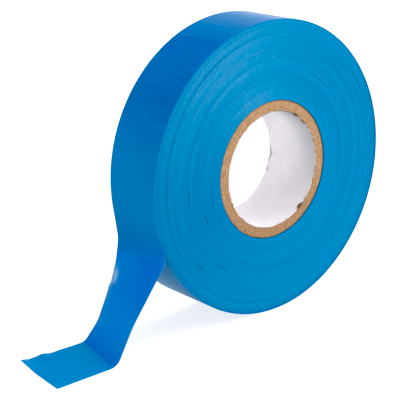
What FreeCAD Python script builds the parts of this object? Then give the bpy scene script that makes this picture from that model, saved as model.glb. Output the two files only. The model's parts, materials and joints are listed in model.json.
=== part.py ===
"""Roll of electrical insulating tape, standing on its rim with the free end peeled off onto the floor.

Frame: the roll's axis is Y, +Z is up, and the origin is the centre of the bore, half way across the width.
Angles are in degrees, counter-clockwise from +X as seen from -Y. The tape comes over the top of the roll,
down its -X side and leaves it at the peel line; the free end hangs to the floor, folds and lies flat.
"""

import FreeCAD, Part
import math
import os
import Sketcher

DIMENSIONS = (
    # alias, value, meaning (millimetres and degrees)
    ("outer_radius", 41.0, "roll, to the film's outer face at the peel line"),
    ("tape_width", 19.0, "width of the tape and of the core"),
    ("film_thickness", 0.105, "PVC film"),
    ("adhesive_thickness", 0.02, "adhesive coat on the film's inner face"),
    ("bore_radius", 16.0, "inside of the paper liner"),
    ("liner_thickness", 0.3, "white paper liner"),
    ("core_outer_radius", 19.25, "outside of the chipboard core"),
    ("seam_width", 0.2, "gap between the two edges of a chipboard ply"),
    ("seam_slant", 28.0, "slant of a ply's seam from the roll's axis"),
    ("peel_angle", 198.0, "where the free end leaves the roll"),
    ("link_angle", 10.0, "arc of one link of the stretch that can be pulled off"),
    ("back_peel_lead", 0.5, "+Y edge of the tail: straight before the peel bend"),
    ("back_peel_radius", 8.0, "+Y edge: peel bend"),
    ("back_sweep_radius", 46.0, "+Y edge: long outward sweep"),
    ("back_peel_heading", -88.0, "+Y edge: direction at the peel line"),
    ("back_hang_heading", -98.0, "+Y edge: direction after the peel bend"),
    ("back_floor_heading", -133.0, "+Y edge: direction where it meets the floor"),
    ("front_peel_lead", 2.8, "-Y edge of the tail: straight before the peel bend"),
    ("front_peel_radius", 3.0, "-Y edge: peel bend"),
    ("front_sweep_radius", 32.0, "-Y edge: long inward sweep"),
    ("front_peel_heading", -77.0, "-Y edge: direction at the peel line"),
    ("front_hang_heading", -128.5, "-Y edge: direction after the peel bend"),
    ("front_floor_heading", -121.5, "-Y edge: direction where it meets the floor"),
    ("back_crease_reach", 51.9, "from the roll's axis to the floor crease at the +Y edge"),
    ("front_crease_reach", 55.2, "from the roll's axis to the floor crease at the -Y edge"),
    ("back_tip_reach", 72.1, "from the roll's axis to the cut tip at the +Y edge"),
    ("front_tip_reach", 73.2, "from the roll's axis to the cut tip at the -Y edge"),
)
LINKS = 6
PLIES = 5
PLY_SEAMS = (35.0, 112.0, 188.0, 251.0, 322.0)

TAPE = "(sheet.film_thickness + sheet.adhesive_thickness)"
# The last turn is a spiral made of two half circles, whose centres lie a quarter of the tape's thickness to
# either side of the axis, on the line through the peel line: each half turn then gains half a thickness.
EARLY_RADIUS = f"sheet.outer_radius - 1.75 * {TAPE}"
LATE_RADIUS = f"sheet.outer_radius - 1.25 * {TAPE}"
EARLY_SHIFT = f"(-{TAPE} / 4)"
LATE_SHIFT = f"({TAPE} / 4)"
FLOOR = f"({EARLY_SHIFT} * sin(sheet.peel_angle) - sheet.outer_radius + 0.75 * {TAPE})"
UNROLL_START = f"sheet.peel_angle - {LINKS} * sheet.link_angle"

doc = FreeCAD.newDocument("electrical_tape_roll")
sheet = doc.addObject("Spreadsheet::Sheet", "sheet")
for row, (alias, value, meaning) in enumerate(DIMENSIONS, start=1):
    sheet.set(f"A{row}", meaning)
    sheet.set(f"B{row}", str(value))
    sheet.setAlias(f"B{row}", alias)
doc.recompute()
nodes = []


def node(thing, label):
    """Names a finished sub-part and keeps it for export."""
    thing.Label = label
    nodes.append(thing)
    return thing


def disc(name, radius, start="0", sweep="360", shift="0"):
    """Disc or sector as wide as the tape. Its centre is shift away from the axis, towards the peel line."""
    piece = doc.addObject("Part::Cylinder", name)
    piece.setExpression("Radius", radius)
    piece.setExpression("Height", "sheet.tape_width")
    piece.setExpression("Angle", sweep)
    x, z = (f"{shift} * {function}(sheet.peel_angle)" for function in ("cos", "sin"))
    centre = f"vector({x}; sheet.tape_width / 2; {z})"
    turn = f"rotation(vector(1; 0; 0); 90) * rotation(vector(0; 0; 1); {start})"
    piece.setExpression("Placement", f"placement({centre}; {turn})")
    return piece


def cut(name, base, tool):
    piece = doc.addObject("Part::Cut", name)
    piece.Base = base
    piece.Tool = tool
    return piece


def fuse(name, base, tool):
    piece = doc.addObject("Part::Fuse", name)
    piece.Base = base
    piece.Tool = tool
    piece.Refine = True
    return piece


def arc_strip(name, inner, outer, start, sweep, shift):
    """Curved strip between two radii about the same centre."""
    sector = disc(f"{name}_sector", outer, start, sweep, shift)
    return cut(name, sector, disc(f"{name}_hollow", inner, shift=shift))


def layers():
    """The two layers of the strip, each with its inner and outer height above the adhesive's sticky face."""
    return (
        ("adhesive", "0", "sheet.adhesive_thickness"),
        ("film", "sheet.adhesive_thickness", TAPE),
    )


# ---- core: a paper liner in the bore, and chipboard plies wound round it ----


def core_liner():
    bore = disc("liner_bore", "sheet.bore_radius")
    paper = disc("liner_paper", "sheet.bore_radius + sheet.liner_thickness")
    return cut("core_liner", paper, bore)


def core_ply(number, seam_angle):
    """One chipboard ply: a ring whose two edges meet at a slanting seam."""
    inside = "(sheet.bore_radius + sheet.liner_thickness)"
    step = f"((sheet.core_outer_radius - {inside}) / {PLIES})"
    inner = disc(f"ply_{number}_inside", f"{inside} + {number - 1} * {step}")
    outer = disc(f"ply_{number}_outside", f"{inside} + {number} * {step}")
    ring = cut(f"ply_{number}_ring", outer, inner)
    seam = doc.addObject("Part::Box", f"ply_{number}_seam")
    seam.setExpression("Length", "sheet.core_outer_radius")
    seam.setExpression("Width", "2 * sheet.tape_width")
    seam.setExpression("Height", "sheet.seam_width")
    turn = f"rotation(vector(0; -1; 0); {seam_angle}) * rotation(vector(1; 0; 0); sheet.seam_slant)"
    corner = "vector(sheet.bore_radius / 2; -sheet.tape_width; -sheet.seam_width / 2)"
    seam.setExpression(
        "Placement",
        f"placement(vector(0; 0; 0); {turn}) * placement({corner}; rotation(vector(0; 0; 1); 0))",
    )
    return cut(f"core_ply_{number}", ring, seam)


# ---- tape that stays on the roll ----


def wound_tape():
    """The turns that stay bonded, as one solid: a spiral with a step one tape thick at the peel line."""
    early = disc("wound_early", EARLY_RADIUS, "sheet.peel_angle", "180", EARLY_SHIFT)
    late = disc("wound_late", LATE_RADIUS, "sheet.peel_angle - 180", "180", LATE_SHIFT)
    spiral = fuse("wound_spiral", early, late)
    return cut("wound_tape", spiral, disc("wound_hollow", "sheet.core_outer_radius"))


def last_turn(layer, low, high):
    """The last turn, from the step at the peel line round to the stretch that can be pulled off."""
    name = f"last_turn_{layer}"
    radii = (f"{EARLY_RADIUS} + {low}", f"{EARLY_RADIUS} + {high}")
    early = arc_strip(f"{name}_early", *radii, "sheet.peel_angle", "180", EARLY_SHIFT)
    radii = (f"{LATE_RADIUS} + {low}", f"{LATE_RADIUS} + {high}")
    sweep = f"180 - {LINKS} * sheet.link_angle"
    late = arc_strip(f"{name}_late", *radii, "sheet.peel_angle - 180", sweep, LATE_SHIFT)
    return fuse(name, early, late)


def unroll_link(number, layer, low, high):
    """One link of the stretch that peels off and straightens when the free end is pulled."""
    start = f"{UNROLL_START} + {number - 1} * sheet.link_angle"
    radii = (f"{LATE_RADIUS} + {low}", f"{LATE_RADIUS} + {high}")
    return arc_strip(f"unroll_{layer}_{number}", *radii, start, "sheet.link_angle", LATE_SHIFT)


# ---- free end: a twisted tail down to the floor, and a flat tab ----

START, END = 1, 2
ORIGIN = (-1, 1)
STAGES = ("peel", "hang", "floor")
BENDS = ("peel", "sweep")


def value(alias):
    return sheet.get(alias)


def along(heading):
    """Unit vector in a direction given in degrees."""
    return FreeCAD.Vector(math.cos(math.radians(heading)), math.sin(math.radians(heading)), 0)


def edge_layout(edge, depth):
    """Layout of one edge line of the tail: line, bend, line, sweep, line, at a depth below the outer face.

    The two later lines are as long as it takes to end at the crease on the floor.
    """
    headings = [value(f"{edge}_{stage}_heading") for stage in STAGES]
    sides = [math.copysign(1, after - before) for before, after in zip(headings, headings[1:])]
    radii = [value(f"{edge}_{bend}_radius") - side * depth for bend, side in zip(BENDS, sides)]
    start = value("outer_radius") * along(value("peel_angle")) + depth * along(headings[0] + 90)
    crease = FreeCAD.Vector(-value(f"{edge}_crease_reach"), -value("outer_radius"), 0)
    end = crease + depth * along(headings[2] + 90)

    lead, hang, drop = (along(heading) for heading in headings)
    left = end - start - value(f"{edge}_peel_lead") * lead
    for side, radius, before, after in zip(sides, radii, headings, headings[1:]):
        left -= side * radius * (along(before + 90) - along(after + 90))
    turn = hang.cross(drop).z
    lengths = (value(f"{edge}_peel_lead"), left.cross(drop).z / turn, hang.cross(left).z / turn)

    pieces = []
    point = start
    for length, side, radius, before, after in zip(lengths, sides, radii, headings, headings[1:]):
        corner = point + length * along(before)
        pieces.append(Part.LineSegment(point, corner))
        centre = corner + side * radius * along(before + 90)
        angles = sorted(math.radians(heading - side * 90) for heading in (before, after))
        pieces.append(Part.ArcOfCircle(Part.Circle(centre, FreeCAD.Vector(0, 0, 1), radius), *angles))
        point = centre - side * radius * along(after + 90)
    pieces.append(Part.LineSegment(point, end))
    return pieces


def bind(sketch, kind, place, now, expression):
    """Adds a dimension to a sketch, with the size it has now, and binds it to the sheet."""
    index = sketch.addConstraint(Sketcher.Constraint(kind, *place, now))
    sketch.setExpression(f"Constraints[{index}]", expression)


def bind_point(sketch, line, which, x, z):
    """Binds one end of a line to a place, given by two expressions."""
    now = sketch.getPoint(line, which)
    bind(sketch, "DistanceX", (*ORIGIN, line, which), now.x, x)
    bind(sketch, "DistanceY", (*ORIGIN, line, which), now.y, z)


def edge_line(sketch, edge, depth, depth_now):
    """Draws one edge line of the tail, tangent all along and dimensioned, and returns its piece numbers."""
    numbers = [sketch.addGeometry(piece) for piece in edge_layout(edge, depth_now)]
    first, last = numbers[0], numbers[-1]
    for stage, line in zip(STAGES, numbers[::2]):
        heading = f"{edge}_{stage}_heading"
        bind(sketch, "Angle", (line,), math.radians(value(heading)), f"sheet.{heading}")
    bind(sketch, "Distance", (first,), value(f"{edge}_peel_lead"), f"sheet.{edge}_peel_lead")
    for bend, before, after, arc in zip(BENDS, STAGES, STAGES[1:], numbers[1::2]):
        left = value(f"{edge}_{after}_heading") > value(f"{edge}_{before}_heading")
        radius, sign = f"{edge}_{bend}_radius", "-" if left else "+"
        now = value(radius) + (-depth_now if left else depth_now)
        bind(sketch, "Radius", (arc,), now, f"sheet.{radius} {sign} {depth}")
        near, far = (START, END) if left else (END, START)
        sketch.addConstraint(Sketcher.Constraint("Tangent", arc - 1, END, arc, near))
        sketch.addConstraint(Sketcher.Constraint("Tangent", arc, far, arc + 1, START))
    peel, floor = f"sheet.{edge}_peel_heading", f"sheet.{edge}_floor_heading"
    start_x = f"sheet.outer_radius * cos(sheet.peel_angle) - {depth} * sin({peel})"
    start_z = f"sheet.outer_radius * sin(sheet.peel_angle) + {depth} * cos({peel})"
    bind_point(sketch, first, START, start_x, start_z)
    end_x = f"-sheet.{edge}_crease_reach - {depth} * sin({floor})"
    end_z = f"{FLOOR} + {TAPE} + {depth} * cos({floor})"
    bind_point(sketch, last, END, end_x, end_z)
    return numbers


def plane_sketch(body, name, role):
    sketch = body.newObject("Sketcher::SketchObject", name)
    plane = next(feature for feature in body.Origin.OriginFeatures if feature.Role == role)
    sketch.AttachmentSupport = [(plane, "")]
    sketch.MapMode = "FlatFace"
    return sketch


def tail_section(body, name, edge, near, far):
    """Closed outline of one layer of the tail on the plane of one edge of the tape.

    near and far are the depths of the layer's two faces below the film's outer face.
    """
    sketch = plane_sketch(body, name, "XZ_Plane")
    side = "" if edge == "front" else "-"
    sketch.setExpression("AttachmentOffset.Base.z", f"{side}sheet.tape_width / 2")
    outer = edge_line(sketch, edge, *near)
    inner = edge_line(sketch, edge, *far)
    for a, b, where in ((outer[0], inner[0], START), (outer[-1], inner[-1], END)):
        cap = sketch.addGeometry(Part.LineSegment(sketch.getPoint(a, where), sketch.getPoint(b, where)))
        sketch.addConstraint(Sketcher.Constraint("Coincident", a, where, cap, START))
        sketch.addConstraint(Sketcher.Constraint("Coincident", b, where, cap, END))
    return sketch


def tail(layer, low, high):
    """The hanging stretch: straight lines across the tape join its two edge lines, which bend differently."""
    body = doc.addObject("PartDesign::Body", f"tail_{layer}")
    film, whole = value("film_thickness"), value("film_thickness") + value("adhesive_thickness")
    depths_now = {"film": (0.0, film), "adhesive": (film, whole)}[layer]
    depths = (f"({TAPE} - {high})", f"({TAPE} - {low})")
    near, far = zip(depths, depths_now)
    sections = [tail_section(body, f"tail_{layer}_{edge}", edge, near, far) for edge in ("back", "front")]
    loft = body.newObject("PartDesign::AdditiveLoft", f"tail_{layer}_loft")
    loft.Profile = sections[0]
    loft.Sections = [sections[1]]
    loft.Ruled = True
    return body


def tab(layer, low, high):
    """The flat end on the floor, from the crease to the cut tip."""
    body = doc.addObject("PartDesign::Body", f"tab_{layer}")
    sketch = plane_sketch(body, f"tab_{layer}_outline", "XY_Plane")
    sketch.setExpression("AttachmentOffset.Base.z", f"{FLOOR} + {low}")
    corners = (("back_crease", 1), ("back_tip", 1), ("front_tip", -1), ("front_crease", -1))
    half = value("tape_width") / 2
    points = [FreeCAD.Vector(-value(f"{corner}_reach"), side * half, 0) for corner, side in corners]
    lines = [sketch.addGeometry(Part.LineSegment(a, b)) for a, b in zip(points, points[1:] + points[:1])]
    for line, following in zip(lines, lines[1:] + lines[:1]):
        sketch.addConstraint(Sketcher.Constraint("Coincident", line, END, following, START))
    for line, (corner, side) in zip(lines, corners):
        bind_point(sketch, line, START, f"-sheet.{corner}_reach", f"{side} * sheet.tape_width / 2")
    pad = body.newObject("PartDesign::Pad", f"tab_{layer}_pad")
    pad.Profile = sketch
    pad.setExpression("Length", f"{high} - {low}")
    return body


# ---- the whole roll ----

node(core_liner(), "core_liner")
for number, seam_angle in enumerate(PLY_SEAMS, start=1):
    node(core_ply(number, seam_angle), f"core_ply_{number}")
node(wound_tape(), "wound_tape")
for layer, low, high in layers():
    node(last_turn(layer, low, high), f"last_turn_{layer}")
    for number in range(1, LINKS + 1):
        node(unroll_link(number, layer, low, high), f"unroll_{layer}_{number}")
    node(tail(layer, low, high), f"tail_{layer}")
    node(tab(layer, low, high), f"tab_{layer}")

doc.recompute()
for thing in doc.Objects:
    if {"Invalid", "Error"} & set(thing.State):
        raise RuntimeError(f"{thing.Label} failed: {thing.State}")
for piece in nodes:
    if piece.Shape.isNull() or not piece.Shape.isValid() or not piece.Shape.Solids:
        raise RuntimeError(f"{piece.Label} has no valid solid")

os.makedirs("parts", exist_ok=True)
for piece in nodes:
    piece.Shape.exportStep(f"parts/{piece.Label}.step")
    print(f"{piece.Label}: {piece.Shape.Volume:.2f} mm3")
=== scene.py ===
"""Roll of electrical insulating tape on a pale floor: meshes, materials, light and camera.

Lengths in the mesh code are millimetres, and become metres when a mesh is made. Angles on the roll are
degrees, counter-clockwise from +X as seen from -Y. Front is the -Y side of the tape and back the +Y side.
"""

import json
import math

import bpy
import numpy as np
from mathutils import Matrix, Vector


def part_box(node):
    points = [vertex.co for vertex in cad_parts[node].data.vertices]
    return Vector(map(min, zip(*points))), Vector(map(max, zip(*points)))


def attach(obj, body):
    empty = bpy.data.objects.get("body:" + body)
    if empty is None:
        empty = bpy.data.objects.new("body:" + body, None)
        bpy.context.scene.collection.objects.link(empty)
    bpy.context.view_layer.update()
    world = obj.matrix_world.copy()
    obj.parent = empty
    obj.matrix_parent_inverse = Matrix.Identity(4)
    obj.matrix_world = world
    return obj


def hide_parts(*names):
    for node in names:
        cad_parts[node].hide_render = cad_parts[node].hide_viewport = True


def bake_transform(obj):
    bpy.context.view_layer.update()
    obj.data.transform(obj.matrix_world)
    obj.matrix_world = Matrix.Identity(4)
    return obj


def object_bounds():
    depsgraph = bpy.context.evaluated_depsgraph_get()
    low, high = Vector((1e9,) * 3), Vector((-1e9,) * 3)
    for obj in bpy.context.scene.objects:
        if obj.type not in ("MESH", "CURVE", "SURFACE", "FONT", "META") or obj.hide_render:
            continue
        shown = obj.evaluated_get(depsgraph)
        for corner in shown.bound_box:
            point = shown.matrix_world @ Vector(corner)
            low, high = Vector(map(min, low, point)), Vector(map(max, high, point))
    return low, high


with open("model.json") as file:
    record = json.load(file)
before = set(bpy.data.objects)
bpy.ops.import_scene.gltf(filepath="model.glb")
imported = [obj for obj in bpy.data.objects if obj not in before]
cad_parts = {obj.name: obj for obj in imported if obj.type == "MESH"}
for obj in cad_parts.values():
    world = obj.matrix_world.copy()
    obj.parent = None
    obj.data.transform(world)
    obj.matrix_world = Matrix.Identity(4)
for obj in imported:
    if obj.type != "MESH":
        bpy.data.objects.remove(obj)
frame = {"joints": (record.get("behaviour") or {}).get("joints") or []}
cad_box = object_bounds()

# ---- driving dimensions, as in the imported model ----

MM = 0.001
# Radii: outside of the roll, outside of the core, bore. Then thicknesses: film, film with adhesive, liner.
OUTER = 41.0
CORE = 19.25
BORE = 16.0
FILM = 0.105
TAPE = 0.125
LINER = 0.3
# Angle of the peel line, and the links before it that peel off one after another.
PEEL = 198.0
LINK = 10.0
LINKS = 6
FIRST_HINGE = PEEL - LINKS * LINK
TURN_START = PEEL - 360.0
# Angle of each ply's seam at mid-width, from the innermost ply out, and the seam's gap and slant.
PLY_SEAMS = (35.0, 112.0, 188.0, 251.0, 322.0)
SEAM = 0.2
SEAM_SLANT = 28.0
# Half the tape's width, and the height of the floor.
HALF = (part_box("wound_tape")[1].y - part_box("wound_tape")[0].y) / 2 / MM
FLOOR = cad_box[0].z / MM

joints = {joint["name"]: joint for joint in frame["joints"]}


# ---- mesh helpers ----


def make_mesh(name, points, faces, material, smooth_deg=40.0):
    """Mesh object from points in millimetres."""
    mesh = bpy.data.meshes.new(name)
    mesh.from_pydata((np.asarray(points) * MM).tolist(), [], faces)
    mesh.validate()
    mesh.update()
    thing = bpy.data.objects.new(name, mesh)
    bpy.context.scene.collection.objects.link(thing)
    mesh.materials.append(material)
    mesh.set_sharp_from_angle(angle=math.radians(smooth_deg))
    return thing


def loft(name, loops, material, closed=False, smooth_deg=40.0):
    """Solid through closed cross-sections, loops[station, point], with caps that pair opposite points."""
    loops = np.asarray(loops, float)
    stations, count = loops.shape[:2]
    here = np.arange(stations if closed else stations - 1)[:, None] * count
    ahead = (here + count) % (stations * count)
    point = np.arange(count)[None, :]
    beside = (point + 1) % count
    faces = np.stack([here + point, here + beside, ahead + beside, ahead + point], axis=-1).reshape(-1, 4)
    faces = faces.tolist()
    if not closed:
        last = (stations - 1) * count
        for i in range(count // 2 - 1):
            j = count - 1 - i
            faces.append([i, j, j - 1, i + 1])
            faces.append([last + i, last + i + 1, last + j - 1, last + j])
    return make_mesh(name, loops.reshape(-1, 3), faces, material, smooth_deg)


def point_values(thing, name, values):
    """Stores one number per vertex for a material to read."""
    layer = thing.data.attributes.new(name, "FLOAT", "POINT")
    layer.data.foreach_set("value", np.asarray(values, np.float32).ravel())


def polar(angle, radius):
    """X and Z at an angle in degrees."""
    return radius * np.cos(np.radians(angle)), radius * np.sin(np.radians(angle))


def turn_between(angle, middle):
    """Signed difference of two angles, at most half a turn."""
    return (angle - middle + 180.0) % 360.0 - 180.0


def facing(angle, towards):
    """Cosine of the angle away from a direction on the roll, or 0 on the far half."""
    return np.clip(np.cos(np.radians(angle - towards)), 0, 1)


def bump(x, centre, width):
    """Smooth bell of height 1."""
    return np.exp(-(((x - centre) / width) ** 2))


def ramp(x, low, high):
    """0 up to low, 1 from high, smooth between them."""
    t = np.clip((x - low) / (high - low), 0, 1)
    return t * t * (3 - 2 * t)


def waver(x, seed, pitch, octaves=4, gain=0.6):
    """Smooth wandering value of about unit size along x, made of sines of a seeded random phase."""
    usual_size = 2.4
    draw = np.random.default_rng(seed)
    total, size = 0.0, 1.0
    for octave in range(octaves):
        for stretch in draw.uniform(0.7, 1.4, 3):
            wave = 2 * math.pi * stretch * 2**octave / pitch
            total = total + size * np.sin(x * wave + draw.uniform(0, 2 * math.pi))
        size *= gain
    return total / usual_size


def ring_waver(degrees, seed, lowest, highest):
    """Smooth wandering value along an angle in degrees, which closes after a full turn."""
    draw = np.random.default_rng(seed)
    total = 0.0
    for cycles in range(lowest, highest + 1):
        size = (lowest / cycles) ** 0.7
        total = total + size * np.sin(np.radians(degrees) * cycles + draw.uniform(0, 2 * math.pi))
    return total / math.sqrt(highest - lowest + 1)


# ---- materials ----


class Nodes:
    """Builds a material's nodes: each call adds one node, and a socket given as an input is linked."""

    def __init__(self, name):
        self.material = bpy.data.materials.new(name)
        self.material.use_nodes = True
        self.tree = self.material.node_tree
        self.tree.nodes.clear()

    def add(self, kind, inputs=(), **settings):
        node = self.tree.nodes.new("ShaderNode" + kind)
        for key, value in settings.items():
            setattr(node, key, value)
        for key, value in dict(inputs).items():
            socket = node.inputs[key]
            if isinstance(value, bpy.types.NodeSocket):
                self.tree.links.new(value, socket)
            else:
                socket.default_value = value
        return node

    def math(self, operation, a, b=0.0, clamp=False):
        return self.add("Math", {0: a, 1: b}, operation=operation, use_clamp=clamp).outputs[0]

    def noise(self, where, scale, detail=3.0, rough=0.55, distort=0.0):
        inputs = {"Vector": where, "Scale": scale, "Detail": detail, "Roughness": rough}
        return self.add("TexNoise", {**inputs, "Distortion": distort}).outputs["Fac"]

    def scaled(self, where, x, y, z):
        return self.add("Mapping", {"Vector": where, "Scale": (x, y, z)}).outputs[0]

    def between(self, value, low, high, to_low=0.0, to_high=1.0):
        inputs = {"Value": value, "From Min": low, "From Max": high, "To Min": to_low, "To Max": to_high}
        return self.add("MapRange", inputs, interpolation_type="SMOOTHSTEP").outputs[0]

    def mix(self, share, a, b):
        node = self.add("Mix", data_type="RGBA")
        for socket, value in ((node.inputs[0], share), (node.inputs[6], a), (node.inputs[7], b)):
            if isinstance(value, bpy.types.NodeSocket):
                self.tree.links.new(value, socket)
            elif isinstance(value, tuple):
                socket.default_value = (*value, 1.0)
            else:
                socket.default_value = value
        return node.outputs[2]

    def bump(self, height, distance, strength=1.0, normal=None):
        inputs = {"Height": height, "Distance": distance, "Strength": strength}
        if normal is not None:
            inputs["Normal"] = normal
        return self.add("Bump", inputs).outputs[0]

    def finish(self, colour, roughness, normal, **extra):
        inputs = {"Base Color": colour, "Roughness": roughness, "Normal": normal}
        inputs.update({key.replace("_", " "): value for key, value in extra.items()})
        shader = self.add("BsdfPrincipled", inputs)
        out = self.add("OutputMaterial")
        self.tree.links.new(shader.outputs[0], out.inputs[0])
        return self.material

    def position(self):
        """Place in millimetres."""
        place = self.add("TexCoord").outputs["Object"]
        return self.add("VectorMath", {0: place, "Scale": 1 / MM}, operation="SCALE").outputs[0]

    def attribute(self, name):
        return self.add("Attribute", attribute_name=name).outputs["Fac"]

    def round_axis(self, place):
        """Radius in millimetres and angle in radians about the roll's axis, and the place across the tape."""
        x, y, z = self.add("SeparateXYZ", {0: place}).outputs
        radius = self.math("SQRT", self.math("ADD", self.math("MULTIPLY", x, x), self.math("MULTIPLY", z, z)))
        return radius, self.math("ARCTAN2", z, x), y


# Tint of the tape's reflections.
TINT = (0.38, 0.88, 0.85, 1.0)


def film_material():
    """Smooth PVC: deep blue with broad soft bands, fine grain, faint scratches, paler edges, and painted
    shade, light, reflection and highlights.
    """
    n = Nodes("pvc_film")
    along, across = n.attribute("along"), n.attribute("across")
    strip = n.add("CombineXYZ", {0: along, 1: across}).outputs[0]
    broad = n.noise(n.scaled(strip, 0.055, 0.02, 1), 1.0, 2.0)
    band = n.noise(n.scaled(strip, 0.45, 0.025, 1), 1.0, 3.0)
    colour = n.mix(n.between(broad, 0.35, 0.65), (0.0, 0.112, 0.43), (0.0, 0.140, 0.48))
    # Painted reflection: a greener blue on the last turn before the hinge, where the rim reflects the bright
    # studio.
    colour = n.mix(n.attribute("painted_reflection"), colour, (0.0, 0.145, 0.48))
    colour = n.mix(n.between(band, 0.45, 0.75, 0.0, 0.22), colour, (0.0, 0.19, 0.55))
    # Painted shade: a deeper blue on the hanging tail, where it no longer reflects the bright studio.
    colour = n.mix(n.attribute("hang_shade"), colour, (0.0, 0.138, 0.60))
    # Painted light: a lighter blue on the flat tab, which faces up to the light.
    colour = n.mix(n.attribute("lit_tab"), colour, (0.0, 0.168, 0.49))
    scratch = n.noise(n.scaled(strip, 0.35, 9.0, 1), 1.0, 2.0, 0.6, 0.4)
    scarce = n.noise(strip, 0.22, 2.0)
    scratch = n.math("MULTIPLY", n.between(scratch, 0.7, 0.76), n.between(scarce, 0.56, 0.66))
    fleck = n.between(n.noise(strip, 1.9, 0.0), 0.80, 0.84)
    mark = n.math("MAXIMUM", scratch, fleck)
    colour = n.mix(n.math("MULTIPLY", mark, 0.55), colour, (0.03, 0.36, 0.72))
    edge = n.between(n.math("ABSOLUTE", across), HALF - 0.45, HALF, 0.0, 0.45)
    colour = n.mix(edge, colour, (0.0, 0.25, 0.60))
    # Painted shade: darker blue just past the hinge, below the peel bend, and before the fold.
    colour = n.mix(n.attribute("deep"), colour, (0.0, 0.085, 0.44))
    # Painted highlights: a pale patch above the nick in the back edge, a pale streak below it, and a glint on
    # the front edge.
    colour = n.mix(n.attribute("pale"), colour, (0.26, 0.42, 0.66))
    grain = n.noise(strip, 5.0, 2.0)
    wave = n.noise(n.scaled(strip, 0.3, 0.12, 1), 1.0, 1.0)
    normal = n.bump(wave, 0.09 * MM)
    normal = n.bump(grain, 0.0025 * MM, 1.0, normal)
    normal = n.bump(mark, 0.01 * MM, 1.0, normal)
    rough = n.between(band, 0.3, 0.7, 0.27, 0.36)
    rough = n.math("ADD", rough, n.math("MULTIPLY", mark, 0.25))
    return n.finish(colour, rough, normal, Specular_Tint=TINT, Specular_IOR_Level=0.38)


def adhesive_material():
    """Sticky face: duller and darker, mottled where it let go of the turn below."""
    n = Nodes("adhesive")
    strip = n.add("CombineXYZ", {0: n.attribute("along"), 1: n.attribute("across")}).outputs[0]
    mottle = n.noise(n.scaled(strip, 0.7, 1.1, 1), 1.0, 5.0, 0.65)
    streak = n.noise(n.scaled(strip, 0.08, 1.6, 1), 1.0, 3.0)
    colour = n.mix(n.between(mottle, 0.35, 0.65), (0.0, 0.10, 0.36), (0.0, 0.135, 0.43))
    colour = n.mix(n.between(streak, 0.5, 0.7, 0.0, 0.4), colour, (0.0, 0.165, 0.47))
    normal = n.bump(mottle, 0.02 * MM)
    rough = n.between(mottle, 0.3, 0.7, 0.22, 0.42)
    return n.finish(colour, rough, normal, Specular_Tint=TINT, Specular_IOR_Level=0.45)


def frost_and_sheen_haze(n, colour, radius, angle, frost_and_sheen):
    """Whitish wear with painted sheen on the side face, in broad patches and in short strokes across the
    rings.
    """
    worn_place = n.add("CombineXYZ", {0: radius, 1: n.math("MULTIPLY", angle, 30.0)}).outputs[0]
    strokes = n.noise(n.scaled(worn_place, 0.6, 2.0, 1), 1.0, 4.0, 0.7, 0.3)
    patches = n.noise(n.scaled(worn_place, 0.24, 0.16, 1), 1.0, 2.0)
    haze = n.math("MULTIPLY", frost_and_sheen, n.between(patches, 0.25, 0.75, 0.78, 0.92))
    colour = n.mix(haze, colour, (0.090, 0.268, 0.545))
    haze = n.math("MULTIPLY", frost_and_sheen, n.between(strokes, 0.42, 0.72, 0.0, 0.6))
    return n.mix(haze, colour, (0.107, 0.39, 0.64))


def side_material():
    """Side of the roll, where the turns' cut edges show: fine rings, whitish wear with painted sheen, brush
    marks, specks, painted shade and a painted highlight on the outer edge.
    """
    n = Nodes("tape_side")
    place = n.position()
    radius, angle, _ = n.round_axis(place)
    ring_place = n.add("CombineXYZ", {0: radius, 1: n.math("MULTIPLY", angle, 1.5)}).outputs[0]
    rings = n.noise(n.scaled(ring_place, 3.2, 0.35, 1), 1.0, 4.0, 0.7)
    wide = n.noise(n.scaled(ring_place, 0.42, 0.25, 1), 1.0, 2.0)
    brush_place = n.add("CombineXYZ", {0: radius, 1: n.math("MULTIPLY", angle, 60.0)}).outputs[0]
    brush = n.noise(n.scaled(brush_place, 0.28, 1.0, 1), 1.0, 3.0, 0.6, 0.3)
    cloud = n.noise(place, 0.11, 3.0)
    fine = n.noise(place, 2.6, 3.0, 0.7)
    colour = n.mix(n.between(wide, 0.35, 0.65), (0.0, 0.186, 0.45), (0.0, 0.207, 0.49))
    colour = n.mix(n.between(rings, 0.56, 0.80, 0.0, 0.45), colour, (0.0, 0.125, 0.37))
    colour = n.mix(n.between(brush, 0.52, 0.78, 0.0, 0.12), colour, (0.004, 0.25, 0.54))
    # Whitish wear with painted sheen, most at the upper left.
    frost_and_sheen = n.attribute("frost_and_sheen")
    colour = frost_and_sheen_haze(n, colour, radius, angle, frost_and_sheen)
    dots = n.add("TexVoronoi", {"Vector": place, "Scale": 0.17, "Randomness": 1.0}).outputs["Distance"]
    speck = n.between(dots, 0.035, 0.06, 1.0, 0.0)
    hair = n.noise(n.scaled(brush_place, 0.45, 1.3, 1), 1.0, 1.0, 0.5, 0.8)
    hair_share = n.math("MULTIPLY", frost_and_sheen, n.between(cloud, 0.45, 0.55))
    hair = n.math("MULTIPLY", n.between(hair, 0.70, 0.76), hair_share)
    mark = n.math("MAXIMUM", speck, n.math("MULTIPLY", hair, 0.6))
    colour = n.mix(n.math("MULTIPLY", mark, 0.6), colour, (0.16, 0.50, 0.76))
    # Painted shade: darker towards the left of the side face.
    colour = n.mix(n.attribute("painted_shade"), colour, (0.0, 0.10, 0.33))
    # Painted shade in the slits, at the steps between bands, at the joint with the core and along the outer
    # edge.
    colour = n.mix(n.attribute("deep"), colour, (0.0, 0.06, 0.24))
    # Painted highlight along the outer edge, brightest towards the upper left.
    colour = n.mix(n.attribute("pale"), colour, (0.01, 0.26, 0.56))
    normal = n.bump(rings, 0.05 * MM)
    normal = n.bump(brush, 0.02 * MM, 1.0, normal)
    normal = n.bump(n.math("ADD", fine, n.math("MULTIPLY", mark, 0.8)), 0.02 * MM, 1.0, normal)
    rough = n.between(cloud, 0.35, 0.65, 0.42, 0.58)
    return n.finish(colour, rough, normal, Specular_Tint=TINT, Specular_IOR_Level=0.35)


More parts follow.
